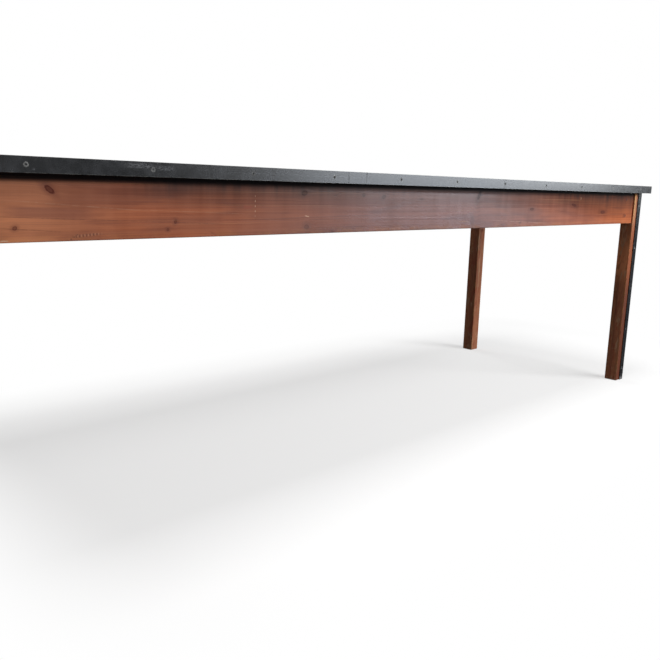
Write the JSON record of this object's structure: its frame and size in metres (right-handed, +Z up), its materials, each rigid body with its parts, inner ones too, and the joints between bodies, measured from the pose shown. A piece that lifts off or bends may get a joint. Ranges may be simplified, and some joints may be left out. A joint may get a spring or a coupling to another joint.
{
  "type": "dining table",
  "caption": "Long wooden dining table with a thin board top in a black flat steel edge, plank aprons and slim wooden legs cased in black steel angle.",
  "frame": {"origin": "on the floor, under the middle of the top", "axes": "+X along the table's length, -Y its front, which the picture shows, and +Z up"},
  "size_m": [2.76, 0.762, 0.762],
  "materials": {
    "top_boards": "satin, stained and waxed pine",
    "frame_wood": "satin, reddish brown stained pine",
    "inner_wood": "plain planed pine, out of sight",
    "black_steel": "satin, blackened and waxed",
    "black_screws": "satin, blackened, with worn rims",
    "zinc_steel": "zinc plated"
  },
  "bodies": {
    "root": {"plank_1": "top_boards", "plank_2": "top_boards", "plank_3": "top_boards", "plank_4": "top_boards", "plank_5": "top_boards", "edge_bar_front": "black_steel", "edge_bar_right": "black_steel", "edge_bar_back": "black_steel", "edge_bar_left": "black_steel", "edge_screws_front": "black_screws", "edge_screws_right": "black_screws", "edge_screws_back": "black_screws", "edge_screws_left": "black_screws", "leg_front_left": "frame_wood", "leg_front_right": "frame_wood", "leg_back_left": "frame_wood", "leg_back_right": "frame_wood", "leg_angle_front_left": "black_steel", "leg_angle_front_right": "black_steel", "leg_angle_back_left": "black_steel", "leg_angle_back_right": "black_steel", "leg_angle_screws_front_left": "black_screws", "leg_angle_screws_front_right": "black_screws", "leg_angle_screws_back_left": "black_screws", "leg_angle_screws_back_right": "black_screws", "apron_front": "frame_wood", "apron_right": "frame_wood", "apron_back": "frame_wood", "apron_left": "frame_wood", "corner_brace_front_left": "inner_wood", "corner_brace_front_right": "inner_wood", "corner_brace_back_left": "inner_wood", "corner_brace_back_right": "inner_wood", "brace_screws": "black_screws", "hanger_bolts": "zinc_steel", "hanger_washers": "zinc_steel", "hanger_nuts": "zinc_steel", "batten_1": "inner_wood", "batten_2": "inner_wood", "batten_3": "inner_wood", "batten_4": "inner_wood", "batten_5": "inner_wood", "batten_screws": "zinc_steel", "top_clips": "zinc_steel", "clip_screws": "zinc_steel"}
  },
  "joints": []
}
